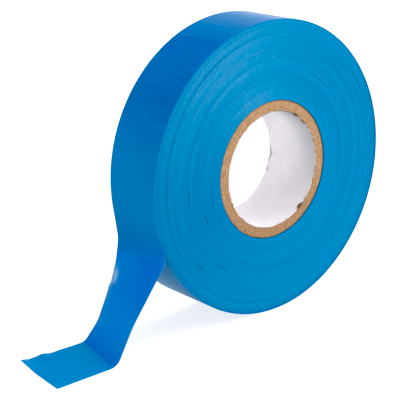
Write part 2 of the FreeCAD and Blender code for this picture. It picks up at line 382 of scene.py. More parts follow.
def chipboard_material():
    """Grey-brown chipboard: pulp fibres round the core, darker edges, dark and pale bits, painted shade on
    the lower side and dark tear marks with painted shadow.
    """
    n = Nodes("core_chipboard")
    place = n.position()
    radius, angle, across = n.round_axis(place)
    wrap = n.add("CombineXYZ", {0: radius, 1: n.math("MULTIPLY", angle, 18.0), 2: across}).outputs[0]
    fibre = n.noise(n.scaled(wrap, 2.6, 1.3, 2.4), 1.0, 6.0, 0.75, 0.4)
    blotch = n.noise(wrap, 0.55, 3.0)
    bits = n.noise(n.scaled(wrap, 2.4, 1.5, 2.0), 1.0, 1.0)
    colour = n.mix(n.between(fibre, 0.36, 0.64), (0.475, 0.245, 0.118), (0.755, 0.46, 0.258))
    colour = n.mix(n.between(blotch, 0.4, 0.7, 0.0, 0.5), colour, (0.58, 0.30, 0.135))
    colour = n.mix(n.between(bits, 0.70, 0.76, 0.0, 0.75), colour, (0.21, 0.075, 0.03))
    colour = n.mix(n.between(bits, 0.30, 0.22, 0.0, 0.5), colour, (0.78, 0.60, 0.42))
    rim = n.between(radius, CORE - 0.50, CORE - 0.10, 0.0, 0.8)
    colour = n.mix(rim, colour, (0.36, 0.125, 0.04))
    lip = n.between(radius, BORE + LINER + 0.45, BORE + LINER, 0.0, 0.5)
    colour = n.mix(lip, colour, (0.55, 0.26, 0.11))
    # Darker cut corners of the plies, painted shade on the lower side, and dark tear marks with painted
    # shadow.
    colour = n.mix(n.attribute("deep"), colour, (0.24, 0.09, 0.03))
    normal = n.bump(fibre, 0.16 * MM)
    normal = n.bump(bits, 0.05 * MM, 1.0, normal)
    return n.finish(colour, n.between(fibre, 0.3, 0.7, 0.85, 0.95), normal, Specular_IOR_Level=0.12)


def liner_material():
    """White paper with a faint lavender cast, fine fibres, soft scuffs, brown smudges at torn edges, and
    painted shade towards the front and along the top.
    """
    n = Nodes("liner_paper")
    place = n.position()
    _, angle, across = n.round_axis(place)
    wrap = n.add("CombineXYZ", {0: n.math("MULTIPLY", angle, 16.0), 1: across}).outputs[0]
    fibre = n.noise(wrap, 2.8, 5.0, 0.75, 0.3)
    cloud = n.noise(wrap, 0.16, 3.0)
    scuff = n.noise(n.scaled(wrap, 1.3, 0.22, 1), 1.0, 3.0, 0.6, 0.6)
    colour = n.mix(n.between(cloud, 0.35, 0.65), (0.90, 0.855, 0.89), (0.95, 0.91, 0.945))
    colour = n.mix(n.between(fibre, 0.55, 0.75, 0.0, 0.3), colour, (0.70, 0.67, 0.72))
    colour = n.mix(n.between(scuff, 0.68, 0.75, 0.0, 0.35), colour, (0.55, 0.50, 0.52))
    # Painted shade: greyer towards the front on the right and along the top.
    colour = n.mix(n.attribute("painted_shade"), colour, (0.40, 0.365, 0.385))
    colour = n.mix(n.attribute("deep"), colour, (0.17, 0.055, 0.03))
    normal = n.bump(fibre, 0.03 * MM)
    normal = n.bump(scuff, 0.02 * MM, 1.0, normal)
    return n.finish(colour, n.between(cloud, 0.35, 0.65, 0.62, 0.75), normal, Specular_IOR_Level=0.3)


def floor_material():
    """Matt pale studio floor, lit from within enough to keep shadows faint to the camera."""
    n = Nodes("studio_floor")
    place = n.position()
    cloud = n.between(n.noise(place, 0.02, 2.0), 0.3, 0.7)
    colour = n.mix(cloud, (0.40, 0.40, 0.40), (0.42, 0.42, 0.42))
    normal = n.bump(n.noise(place, 0.8, 2.0), 0.01 * MM)
    seen = n.add("LightPath").outputs["Is Camera Ray"]
    glow = n.math("ADD", 0.40, n.math("MULTIPLY", seen, 0.38))
    white = (1, 1, 1, 1)
    return n.finish(colour, 0.9, normal, Specular_IOR_Level=0.1, Emission_Color=white, Emission_Strength=glow)


FILM_LOOK = film_material()
ADHESIVE_LOOK = adhesive_material()
SIDE_LOOK = side_material()
CHIPBOARD_LOOK = chipboard_material()
LINER_LOOK = liner_material()


# ---- the loose strip: its two edge lines, from the roll to the cut tip ----

# Each edge leaves the roll at an angle, bends away from it a little (lead), and turns into the hang at the
# peel line. It sweeps on to the shin, bends again near the floor (foot) and folds flat. The crease is where
# the foot's line would meet the floor, and crease and tip are places along X. Turns and headings are degrees.
EDGES = {
    "back": {
        "leave": 188.75, "lead": 7.35, "lead_turn": -1.9, "peel_radius": 8.6,
        "hang": -98.5, "sweep_radius": 34.5, "shin": -115.8, "foot_radius": 15.2, "foot": -144.5,
        "fold_radius": 4.2, "crease": -52.25, "tip": -72.1,
    },
    "front": {
        "leave": 196.0, "lead": 4.0, "lead_turn": -3.0, "peel_radius": 3.3,
        "hang": -128.2, "sweep_radius": 35.0, "shin": -120.0, "foot_radius": 20.0, "foot": -122.0,
        "fold_radius": 3.7, "crease": -55.15, "tip": -73.3,
    },
}
# Heading of the flat tab.
OUT_FLAT = -180.0
# The last half turn's centre is this far off the axis, and its radius is smaller by as much.
SPIRAL = TAPE / 4
LAST_RADIUS = OUTER - SPIRAL


def heading_vector(degrees):
    return np.array([math.cos(math.radians(degrees)), math.sin(math.radians(degrees))])


def circle_point(angle):
    """Film's outer face on the last half turn."""
    return SPIRAL * heading_vector(PEEL) + LAST_RADIUS * heading_vector(angle)


def arc_shift(radius, before, after):
    """Vector from the start to the end of an arc that turns clockwise or not, by the sign of the turn."""
    side = math.copysign(1.0, after - before)
    return side * radius * (heading_vector(before + 90) - heading_vector(after + 90))


def edge_runs(edge):
    """Start and heading of an edge line, and its runs as (length, turn in degrees).

    The straights of the hang and the shin are as long as it takes to bring the line to its crease.
    """
    leave = edge["leave"] + 90 - 360
    lead_end = leave + edge["lead_turn"]
    hang, shin, foot = edge["hang"], edge["shin"], edge["foot"]
    lead_radius = edge["lead"] / math.radians(abs(edge["lead_turn"]))
    fold_trim = edge["fold_radius"] * math.tan(math.radians((foot - OUT_FLAT) / 2))
    bends = (
        (edge["peel_radius"], lead_end, hang),
        (edge["sweep_radius"], hang, shin),
        (edge["foot_radius"], shin, foot),
        (edge["fold_radius"], foot, OUT_FLAT),
    )
    start = circle_point(edge["leave"])
    left = np.array([edge["crease"], FLOOR + TAPE]) - start - fold_trim * heading_vector(foot)
    left = left - arc_shift(lead_radius, leave, lead_end)
    for bend in bends[:3]:
        left = left - arc_shift(*bend)
    system = np.stack([heading_vector(hang), heading_vector(shin)], axis=1)
    hang_length, shin_length = np.linalg.solve(system, left)
    peel, sweep, ankle, fold = [(radius * math.radians(abs(after - before)), after - before)
                                for radius, before, after in bends]
    lead = (edge["lead"], edge["lead_turn"])
    flat = (edge["crease"] - edge["tip"] - fold_trim, 0.0)
    runs = (lead, peel, (hang_length, 0.0), sweep, (shin_length, 0.0), ankle, fold, flat)
    return start, leave, runs


def arc_steps(radius, before, after):
    """Vectors from the start of an arc to the places where its heading, in radians, is `after`."""
    x = np.sin(after) - math.sin(before)
    z = math.cos(before) - np.cos(after)
    return radius * np.stack([x, z], axis=-1)


def run_line(start, heading, runs, where):
    """Points at the given lengths along a line made of straight and round runs."""
    points = np.zeros((len(where), 2))
    begin = 0.0
    for index, (length, turn) in enumerate(runs):
        final = index == len(runs) - 1
        inside = (where >= begin - 1e-9) & ((where <= begin + length + 1e-9) | final)
        along = where[inside] - begin
        if turn:
            before, swept = math.radians(heading), math.radians(turn)
            radius = length / swept
            points[inside] = start + arc_steps(radius, before, before + along / length * swept)
            step = arc_steps(radius, before, before + swept)
        else:
            points[inside] = start + along[:, None] * heading_vector(heading)
            step = length * heading_vector(heading)
        start = start + step
        heading += turn
        begin += length
    return points


class EdgeLine:
    """One edge of the loose strip, by length from the cross-section at BASE degrees on the roll."""

    BASE = 183.0

    def __init__(self, edge):
        self.start, self.heading, self.runs = edge_runs(edge)
        lengths = [length for length, _ in self.runs]
        *before_fold, fold, flat = lengths
        self.before = math.radians(edge["leave"] - self.BASE) * LAST_RADIUS
        self.hinge = math.radians(PEEL - self.BASE) * LAST_RADIUS
        self.fold = self.before + sum(before_fold) + fold / 2
        self.end = self.before + sum(lengths)

    def points(self, where):
        where = np.asarray(where, float)
        result = run_line(self.start, self.heading, self.runs, np.maximum(where - self.before, 0))
        wound = where < self.before
        angles = self.BASE + np.degrees(where[wound] / LAST_RADIUS)
        result[wound] = SPIRAL * heading_vector(PEEL) + np.stack(polar(angles, LAST_RADIUS), axis=1)
        return result


BACK, FRONT = EdgeLine(EDGES["back"]), EdgeLine(EDGES["front"])

# Strip travel is a length along the strip that both edges share. The matched places are the start, the hinge,
# the fold and the tip, and a bit beyond both ends.
FOLD = FRONT.hinge + 33.0
TIP = FOLD + 19.0
BEYOND = 5.0
TRAVEL = [-BEYOND, 0.0, FRONT.hinge, FOLD, TIP, TIP + BEYOND]


def knots(line):
    """An edge's own lengths at the places of TRAVEL."""
    return [-BEYOND, 0.0, line.hinge, line.fold, line.end, line.end + BEYOND]


def strip_surface(travel, across):
    """Outer face of the loose strip at stations in travel and places across, from -1 (front) to 1 (back)."""
    travel = np.asarray(travel, float)
    front = FRONT.points(np.interp(travel, TRAVEL, knots(FRONT)))
    back = BACK.points(np.interp(travel, TRAVEL, knots(BACK)))
    share = ((across + 1) / 2)[None, :, None]
    flat = front[:, None, :] * (1 - share) + back[:, None, :] * share
    # Where it lies on the floor, the strip is drawn in a little at its back edge.
    drawn = 0.65 * ramp(travel, FOLD - 3.0, FOLD + 1.0) * (1 - 0.6 * ramp(travel, FOLD + 9.0, FOLD + 13.0))
    y = across[None, :] * HALF - drawn[:, None] * share[..., 0] ** 2
    return np.stack([flat[..., 0], y, flat[..., 1]], axis=-1)


# Travel from the hinge to the nick in the back edge, and to the cut between the peel piece and the hang.
NICK = 15.4
PEEL_REACH = 3.4
# Travel from the fold to the cuts on both sides of it.
FOLD_REACH = 3.2


def strip_detail(travel, across):
    """How far the film stands off its smooth shape: kinks, the nicked edge, the wavy and curled tab."""
    t = np.asarray(travel, float)[:, None] - FRONT.hinge
    v = across[None, :]
    fold = FOLD - FRONT.hinge
    hang = ramp(t, 2.0, 6.0) * (1 - ramp(t, fold - 4.0, fold - 1.0))
    shift = 0.12 * hang * waver(t + 2.0 * v, 11, 26.0, 2) * (1 - v * v)
    shift = shift + 0.20 * bump(t, NICK + 0.5, 0.8) * ramp(v, 0.55, 1.0)
    shift = shift - 0.16 * bump(t, NICK - 0.6, 0.5) * ramp(v, 0.70, 1.0)
    shift = shift - 0.08 * bump(t, NICK - 2.2, 1.5) * bump(v, 0.85, 0.14)
    shift = shift + 0.03 * hang * np.sin(t * 1.1 + 1.0) * ramp(v, 0.7, 1.0)
    tab = t - fold
    lift = 0.42 * bump(tab, 12.6, 1.5) * ramp(v, 0.35, 1.0) + 0.30 * bump(tab, 15.6, 2.2) * ramp(v, 0.3, 1.0)
    lift = lift + 0.72 * ramp(tab, 16.0, 19.0) * ramp(v, 0.0, 1.0)
    lift = lift + 0.12 * bump(tab, 7.5, 2.2) * ramp(v, 0.0, 1.0) + 0.10 * bump(tab, 10.0, 4.5) * (1 - v * v)
    return shift + ramp(tab, 2.0, 5.0) * lift


def normals_of(grid):
    """Unit normals of a grid on the film's outer side."""
    along = np.gradient(grid, axis=0)
    across = np.gradient(grid, axis=1)
    normal = np.cross(across, along)
    return normal / np.linalg.norm(normal, axis=-1, keepdims=True)


# Places across the strip, closer together at its edges, and the longest step between stations of a bend.
ACROSS = np.sin(np.linspace(-math.pi / 2, math.pi / 2, 41))
FINE = 0.18


def strip_grid(travel):
    """Outer face with its detail, and its normals, for stations of the loose strip."""
    travel = np.asarray(travel, float)
    padded = np.concatenate([[travel[0] - FINE], travel, [travel[-1] + FINE]])
    grid = strip_surface(padded, ACROSS)
    grid = grid + normals_of(grid) * strip_detail(padded, ACROSS)[..., None]
    return grid[1:-1], normals_of(grid)[1:-1]


def strip_loops(grid, normal, low, high):
    """Cross-sections of one layer: low and high are depths below the film's outer face."""
    near = grid - normal * low
    far = grid - normal * high
    return np.concatenate([near, far[:, ::-1]], axis=1)


def marks(thing, travel, values_by_name):
    """Material values of a strip piece whose loops hold the outer row and then the inner row."""
    both = np.concatenate([ACROSS, ACROSS[::-1]])
    point_values(thing, "along", np.repeat(travel, len(both)))
    point_values(thing, "across", np.tile(both * HALF, len(travel)))
    for name, values in values_by_name.items():
        values = np.clip(values, 0, 1)
        point_values(thing, name, np.concatenate([values, values[:, ::-1]], axis=1))


# Layers of the strip: name, the depths below the outer face where it starts and ends, look and material slot.
LAYERS = (
    ("film", 0.0, FILM, FILM_LOOK, "pvc_film"),
    ("adhesive", FILM, TAPE, ADHESIVE_LOOK, "adhesive"),
)


def stations(low, high):
    """Even stations from low to high, close enough for a smooth bend."""
    return np.linspace(low, high, max(3, int(math.ceil((high - low) / FINE)) + 1))


def turn_travel(angle):
    """Strip travel of an angle on the roll, which is negative before the loose strip."""
    return np.radians(angle - EdgeLine.BASE) * LAST_RADIUS


def wound_grid(angles):
    """Outer face and normals of the last turn, which is two half circles with a centre each."""
    join = ramp(angles, PEEL - 183, PEEL - 177)
    shift = (2 * join - 1) * SPIRAL
    radius = OUTER - (3 - 2 * join) * SPIRAL
    x, z = polar(angles, 1.0)
    centre = heading_vector(PEEL)
    grid = np.zeros((len(angles), len(ACROSS), 3))
    normal = np.zeros_like(grid)
    for axis, away, outward in ((0, centre[0], x), (2, centre[1], z)):
        grid[..., axis] = (away * shift + outward * radius)[:, None]
        normal[..., axis] = outward[:, None]
    # The edges of the last turn stray a little from the side faces.
    stray = 0.035 * ring_waver(angles, 21, 2, 9)
    grid[..., 1] = ACROSS[None, :] * HALF + stray[:, None] * np.abs(ACROSS)[None, :]
    return grid, normal


def strip_marks(travel):
    """Shares of the film's painted shade, light, reflection and highlights, by name, from -1 (front) to 1
    (back) across each station.
    """
    t = np.asarray(travel)[:, None] - FRONT.hinge
    v = ACROSS[None, :]
    fold = FOLD - FRONT.hinge
    # Painted shade below the peel bend and before the fold.
    under_peel = 0.55 * bump(t, 3.2 + 1.5 * v, 2.4) * (0.7 - 0.3 * v)
    before_fold = 0.12 * bump(t, fold - 4.5, 2.5) * (0.5 + 0.5 * v)
    # Painted highlights at the nick and along the front edge.
    above_nick = 0.95 * bump(t, NICK - 2.7, 2.3) * bump(v, 0.87, 0.12)
    at_nick = 0.5 * bump(t, NICK + 0.3, 0.5) * ramp(v, 0.8, 1)
    below_nick = 0.30 * bump(t, NICK + 2.6, 2.2) * bump(v, 0.93, 0.07)
    front_edge = 0.35 * bump(t, 5.0, 2.6) * bump(v, -0.995, 0.02)
    return {
        "deep": under_peel + before_fold,
        "pale": above_nick + at_nick + below_nick + front_edge,
        # Painted shade on the hanging tail, from the hinge to the fold.
        "hang_shade": ramp(t - 2.0 * v, -1.0, 6.0) * (1 - ramp(t, fold - 1.5, fold + 5.0)),
        # Painted light on the flat tab.
        "lit_tab": ramp(t, fold - 1.0 + v, fold + 2.5 - 1.5 * v),
        # Painted reflection on the last turn before the hinge.
        "painted_reflection": bump(t, -13.0, 8.0) + 0 * v,
    }


def strip_piece(name, travel, grid, normal, layer):
    """One layer of a stretch of the strip, as a closed mesh with its colour marks."""
    _, low, high, look, slot = layer
    thing = loft(name, strip_loops(grid, normal, low, high), look)
    marks(thing, travel, strip_marks(travel))
    return thing


def crossing(thing, joint_name, from_hinge=False):
    """Bakes a strip piece's placement into its mesh; nothing bends it across the joint.

    from_hinge takes the hinge as the start of the measured part, which nothing then uses.
    """
    joint = joints[joint_name]
    axis = Vector(joint["axis"]).normalized()
    row = 2 * len(ACROSS)
    points = [vertex.co for vertex in thing.data.vertices]
    first, last = points[:row], points[-row:]
    origin = sum(first, Vector()) / row
    towards = sum(last, Vector()) / row - origin
    towards = (towards - towards.dot(axis) * axis).normalized()
    low = max((point - origin).dot(towards) for point in first)
    if from_hinge:
        low = max(low, (Vector(joint["pos_m"]) - origin).dot(towards))
    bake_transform(thing)


def build_wrap(layer):
    """The part of the last turn that stays on the roll."""
    angles = np.arange(TURN_START, FIRST_HINGE - LINK / 2 + 0.25, 0.5)
    grid, normal = wound_grid(angles)
    piece = strip_piece(f"last_turn_{layer[0]}_wrap", turn_travel(angles), grid, normal, layer)
    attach(piece, "roll")
    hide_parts(f"last_turn_{layer[0]}")


LINK_STATIONS = 41


def build_link(layer, number):
    """The stretch of the last turn over one unrolling hinge, from mid-link to mid-link."""
    hinge = FIRST_HINGE + (number - 1) * LINK
    low, high = hinge - LINK / 2, hinge + LINK / 2
    # The last link already lifts off the roll at its back edge.
    if number < LINKS:
        angles = np.linspace(low, high, LINK_STATIONS)
        travel = turn_travel(angles)
        grid, normal = wound_grid(angles)
    else:
        travel = stations(turn_travel(low), turn_travel(high))
        grid, normal = strip_grid(travel)
    piece = strip_piece(f"peeling_{layer[0]}_{number}", travel, grid, normal, layer)
    crossing(piece, f"unroll_{number}")
    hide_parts(f"unroll_{layer[0]}_{number}")


def loose_piece(layer, part, low, high):
    """One stretch of the loose strip."""
    travel = stations(low, high)
    grid, normal = strip_grid(travel)
    return strip_piece(f"tail_{layer[0]}_{part}", travel, grid, normal, layer)


def build_strip(layer):
    """The last turn, a piece over each hinge, and the tail and the tab between them, in one layer."""
    build_wrap(layer)
    for number in range(1, LINKS + 1):
        build_link(layer, number)
    peeled = FRONT.hinge + PEEL_REACH
    fold_start, fold_end = FOLD - FOLD_REACH, FOLD + FOLD_REACH
    crossing(loose_piece(layer, "peel", turn_travel(PEEL - LINK / 2), peeled), "tail_swing", from_hinge=True)
    crossing(loose_piece(layer, "fold", fold_start, fold_end), "tab_fold")
    for part, low, high, body in (("hang", peeled, fold_start, "tail"), ("flat", fold_end, TIP, "tab")):
        piece = loose_piece(layer, part, low, high)
        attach(piece, body)
        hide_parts(f"{body}_{layer[0]}")


for strip_layer in LAYERS:
    build_strip(strip_layer)


# ---- wound tape: every turn of the side faces, as one solid ----

# Points from the core out, about one per turn, and cross-sections round the roll.
TURNS = 172
WOUND_STATIONS = 180
# The outermost wound turn lies this far under the last turn, and this much inside its edges.
TOP_GAP = 0.005
TOP_INSET = 0.04
# Outer radius of each band of turns on the side faces, and how far the band is set in.
BANDS = (
    (22.3, 0.04), (26.0, 0.13), (30.2, 0.05), (34.0, 0.16), (37.2, 0.07), (39.4, 0.17), (41.0, 0.08),
)
# Slits between turns on the front face: angle, half length in degrees, radius, depth. Every other one is
# repeated on the back face.
SLITS = (
    (169.5, 4.0, 34.0, 0.26), (219.0, 7.0, 34.05, 0.26), (182.0, 5.0, 30.0, 0.22),
    (230.5, 6.0, 30.3, 0.26), (199.5, 5.5, 25.8, 0.24), (246.0, 7.5, 26.3, 0.26),
    (52.0, 9.0, 28.2, 0.14), (32.0, 8.0, 37.8, 0.24), (120.0, 24.0, 39.2, 0.10),
    (133.0, 26.0, 36.4, 0.12), (120.0, 22.0, 33.4, 0.14), (145.0, 16.0, 29.6, 0.16),
    (100.0, 30.0, 25.9, 0.08),
)


def band_level(radius, seed, angle):
    """How far the side face is set in at a radius, in bands with soft steps that wander round the roll."""
    draw = np.random.default_rng(seed)
    wander = 0.25 * ring_waver(angle, seed + 1, 1, 4)
    level = np.zeros_like(radius + angle)
    for (edge, depth), (_, next_depth) in zip(BANDS, BANDS[1:]):
        strength = 0.45 + 0.55 * np.cos(np.radians(angle - 150.0)) ** 2
        strength = strength + 0.35 * ring_waver(angle, seed + int(edge * 10), 1, 3)
        place = edge + wander + draw.uniform(-0.3, 0.3)
        level = level + (next_depth - depth) * strength * ramp(radius, place - 0.07, place + 0.07)
    return level


def side_offset(radius, angle, seed, slits):
    """Distance of the side face inside the nominal width, and how deep a slit is there."""
    turn = (radius - CORE) / TAPE
    rough = 0.030 * waver(turn + angle / 360.0, seed + 5, 3.1, 3) + 0.035 * waver(turn, seed + 6, 40.0, 2)
    level = band_level(radius, seed, angle) + rough + 0.02 * ring_waver(angle + radius * 3, seed + 9, 3, 12)
    cut = np.zeros_like(level)
    for middle, reach, place, depth in slits:
        away = turn_between(angle, middle)
        line = place + 0.004 * away
        cut = np.maximum(cut, depth * ramp(reach - np.abs(away), 0, reach * 0.6) * bump(radius, line, 0.075))
    return level, cut


def wound_radius(angle):
    """Outside of the wound turns from the roll's axis: the two half circles of a spiral."""
    early = angle < PEEL - 180
    swing = np.cos(np.radians(angle - PEEL)) * np.where(early, -SPIRAL, SPIRAL)
    return OUTER - TAPE - np.where(early, 3, 1) * SPIRAL + swing


def build_top_turn():
    """The outermost wound turn, which shows where the free end has been pulled off."""
    angle = PEEL + np.arange(-360.0, 0.5, 1.0)
    grid = np.zeros((len(angle), len(ACROSS), 3))
    normal = np.zeros_like(grid)
    for axis, part in zip((0, 2), polar(angle, 1.0)):
        normal[..., axis] = part[:, None]
        grid[..., axis] = (part * (wound_radius(angle) - TOP_GAP))[:, None]
    grid[..., 1] = ACROSS * (HALF - TOP_INSET)
    layer = ("film", 0.0, TAPE, FILM_LOOK, "pvc_film")
    thing = strip_piece("wound_tape_top_turn", turn_travel(angle - 360.0), grid, normal, layer)
    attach(thing, "roll")
    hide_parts("wound_tape")


def frost_and_sheen_share(radius, turned):
    """Whitish wear with painted sheen on the side faces: most at the upper left, outward in each band, and
    near the core on top.
    """
    edges = [CORE] + [edge for edge, _ in BANDS]
    in_band = np.interp(radius, edges, np.arange(len(edges))) % 1.0
    frost_and_sheen = facing(turned, 126.0) ** 3 * (0.6 + 0.4 * in_band)
    near_core = 0.35 * bump(turned, 105.0, 30.0) * bump(radius, 21.0, 3.0)
    return np.clip(0.06 + frost_and_sheen * (0.6 + 0.4 * ramp(radius, 20.0, 36.0)) + near_core, 0, 1)


def build_wound():
    """One closed solid: cross-sections round the roll, each with a point per turn on both side faces."""
    angle = PEEL - 360 * np.linspace(1, 0, WOUND_STATIONS + 1)
    outer = (wound_radius(angle) - TAPE - 2 * TOP_GAP)[:, None]
    radius = CORE + (outer - CORE) * np.linspace(0, 1, TURNS + 1)[None, :]
    turned = np.broadcast_to(angle[:, None], radius.shape)
    x, z = polar(turned, radius)
    # Share of painted light and shade round the side face, highest towards the upper left.
    lit_share = 0.25 + 0.75 * facing(turned, 150.0)
    near_rim = ramp(radius, outer - 0.5, outer)
    # Painted shade at the joint with the core and along the outer edge, least towards the upper left.
    edge = 0.5 * bump(radius, CORE, 0.15) + 0.35 * near_rim * (1.2 - lit_share)
    back_slits = [(360 - middle, *rest) for middle, *rest in SLITS[::2]]
    rows, painted_shades = [], []
    for side, seed, slits in ((-1, 40, SLITS), (1, 70, back_slits)):
        level, cut = side_offset(radius, turned, seed, slits)
        inset = np.clip(level + cut, -0.02, 1.2) + 0.10 * near_rim
        rows.append(np.stack([x, side * (HALF - inset), z], axis=-1))
        step = np.abs(np.gradient(level, axis=1))
        # Painted shade in the slits and at the steps between bands.
        painted_shades.append(np.clip(cut * 1.2 + step * 6.0 * lit_share + edge, 0, 0.6))
    loops = np.concatenate([rows[0], rows[1][:, ::-1]], axis=1)
    thing = loft("wound_tape_turns", loops, SIDE_LOOK, closed=True, smooth_deg=60.0)
    frost_and_sheen = frost_and_sheen_share(radius, turned)
    # Painted shade, darker towards the left of the side face.
    painted_shade = 0.30 * facing(turned, 185.0) ** 2 + 0.04
    # Painted highlight along the outer edge.
    pale = 0.5 * ramp(radius, outer - 0.35, outer) * lit_share
    shares = (("deep", *painted_shades), ("frost_and_sheen", frost_and_sheen, frost_and_sheen), ("painted_shade", painted_shade, painted_shade), ("pale", pale, pale))
    for name, front, back in shares:
        point_values(thing, name, np.concatenate([front, back[:, ::-1]], axis=1))
    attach(thing, "roll")
    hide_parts("wound_tape")


build_wound()
build_top_turn()


# ---- core: chipboard plies and the torn paper liner ----

# Angles of the dark places where the liner has torn away from the innermost ply, with painted shadow at the
# torn edge.
SCARS = (59.0, 309.0, 206.0)
# Half the gap between plies, and the cross-sections round a ply and round the liner.
GLUE_GAP = 0.012
PLY_STATIONS = 541
LINER_STATIONS = 720
# Dark marks on the outermost ply, next to the tape: angle and half width in degrees.
RIM_MARKS = ((223.0, 2.5), (208.0, 4.0), (252.0, 3.0), (300.0, 3.0))


def ply_outline(inner, outer):
    """Points round a ply's section: radius, place from -1 (front) to 1 (back), nearness to a corner."""
    layers = np.linspace(0, 1, 4)
    places = np.linspace(-1, 1, 13)[1:-1]
    front = [(inner + share * (outer - inner), -1.0, abs(share - 0.5) * 2) for share in layers]
    back = [(inner + share * (outer - inner), 1.0, abs(share - 0.5) * 2) for share in layers[::-1]]
    outside = [(outer, place, 0.0) for place in places]
    bore = [(inner, place, 0.0) for place in places[::-1]]
    return front + outside + back + bore


def ply_scar(number, depth_share, turned):
    """Darkness on a ply's front: torn at the bore on the innermost, with painted shadow at the liner's torn
    edge, and marked by tape on the outermost.
    """
    if number == 1:
        return sum(bump(turn_between(turned, middle), 0, 3.5) for middle in SCARS) * (1 - depth_share)
    if number == len(PLY_SEAMS):
        return sum(bump(turn_between(turned, middle), 0, reach) for middle, reach in RIM_MARKS) * depth_share
    return 0.0


def build_ply(number, seam_angle):
    """One chipboard ply: a ring with a slanting seam and fuzzy cut edges."""
    step = (CORE - BORE - LINER) / len(PLY_SEAMS)
    inner = BORE + LINER + (number - 1) * step + GLUE_GAP
    outer = BORE + LINER + number * step - GLUE_GAP
    gap = math.degrees(SEAM / math.cos(math.radians(SEAM_SLANT)) / ((inner + outer) / 2))
    slant = math.tan(math.radians(SEAM_SLANT))
    angle = seam_angle + np.linspace(gap / 2, 360 - gap / 2, PLY_STATIONS)
    seed = 100 + 10 * number
    set_in = 0.05 + 0.05 * ring_waver(angle, seed, 3, 30) + 0.035 * ring_waver(angle, seed + 1, 30, 150)
    set_in = np.clip(set_in + 0.02 * number, 0.0, 0.35)
    outline = ply_outline(inner, outer)
    loops = np.zeros((len(angle), len(outline), 3))
    deep = np.full((len(angle), len(outline)), 0.1)
    for index, (radius, place, corner) in enumerate(outline):
        y = np.full(len(angle), place * HALF)
        at_end = abs(place) == 1.0
        if at_end:
            fuzz = 0.03 * ring_waver(angle, seed + 3 + index, 20, 120)
            y = place * (HALF - (set_in + 0.10 * corner + fuzz))
        turned = angle + np.degrees(y * slant / radius)
        x, z = polar(turned, radius)
        loops[:, index] = np.stack([x, y, z], axis=1)
        if at_end:
            # Painted shade: darker on the lower side of the core.
            low_side = np.clip(-np.sin(np.radians(turned)), 0, 1)
            scar = ply_scar(number, (radius - inner) / (outer - inner), turned) if place < 0 else 0.0
            deep[:, index] = np.clip(0.35 * corner + 0.22 * low_side + scar, 0, 1)
    thing = loft(f"core_ply_{number}_board", loops, CHIPBOARD_LOOK, smooth_deg=50.0)
    point_values(thing, "deep", deep)
    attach(thing, "roll")
    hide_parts(f"core_ply_{number}")


for ply_number, ply_seam in enumerate(PLY_SEAMS, start=1):
    build_ply(ply_number, ply_seam)

# Torn places of the liner's front edge: angle, half width in degrees, depth.
TEARS = (
    (59.0, 5.0, 0.40), (45.0, 4.5, 0.85), (36.0, 2.0, 0.40), (27.0, 1.6, 0.35), (19.0, 2.4, 0.30),
    (6.0, 1.5, 0.35), (351.0, 2.0, 0.30), (338.0, 1.5, 0.30), (318.0, 2.2, 0.30), (308.0, 5.0, 0.55),
    (221.0, 4.0, 0.45), (210.0, 6.0, 0.75), (201.0, 2.0, 0.40), (120.0, 5.0, 0.20), (275.0, 6.0, 0.20),
)
# The same for its back edge, and the dark marks along that edge: angle, half width in degrees.
BACK_TEARS = ((18.0, 3.0, 0.6), (352.0, 5.0, 0.5), (150.0, 6.0, 0.4))
BACK_MARKS = ((353.0, 6.5), (336.0, 1.8))


def liner_edges(angle):
    """How far the liner's front and back edges are set in from the tape's sides."""
    front = 0.12 + 0.08 * ring_waver(angle, 301, 6, 60) + 0.03 * ring_waver(angle, 302, 60, 200)
    for middle, reach, depth in TEARS:
        away = np.abs(turn_between(angle, middle))
        ragged = 1 + 0.25 * ring_waver(angle, 303 + int(middle), 40, 160)
        front = front + depth * ramp(reach - away, 0, reach * 0.7) * ragged
    back = 0.10 + 0.06 * ring_waver(angle, 330, 8, 90)
    for middle, reach, depth in BACK_TEARS:
        back = back + depth * ramp(reach - np.abs(turn_between(angle, middle)), 0, reach)
    return front, back


def liner_stains(angle, share):
    """Brown smudges along the liner's edges and painted shadow at its tears, where share runs from 0 at the
    front edge to 1 at the back.
    """
    edge = bump(share, 0.0, 0.02) * 0.35 + bump(share, 1.0, 0.015) * 0.4
    deep = edge[None, :] * np.clip(0.4 + ring_waver(angle, 350, 8, 50), 0, 1)[:, None]
    # Dark tear marks with painted shadow at the torn edge.
    for middle in SCARS:
        deep = deep + bump(turn_between(angle, middle), 0, 3.5)[:, None] * bump(share, 0.0, 0.010)[None, :]
    for middle, reach in BACK_MARKS:
        deep = deep + 0.9 * bump(turn_between(angle, middle), 0, reach)[:, None] * bump(share, 1.0, 0.035)
    return np.clip(deep, 0, 1)


def liner_shade(turned, y):
    """Painted shade on the paper: darker towards the front on the right, along the top, and round 72 degrees.
    """
    painted_shade = ramp(-y, -2.0, HALF) * (0.10 + 0.60 * facing(turned, 38.0))
    painted_shade = painted_shade + 0.14 * facing(turned, 90.0) ** 3
    return painted_shade + 0.30 * bump(turned, 72.0, 16.0) * ramp(-y, 0.0, HALF)


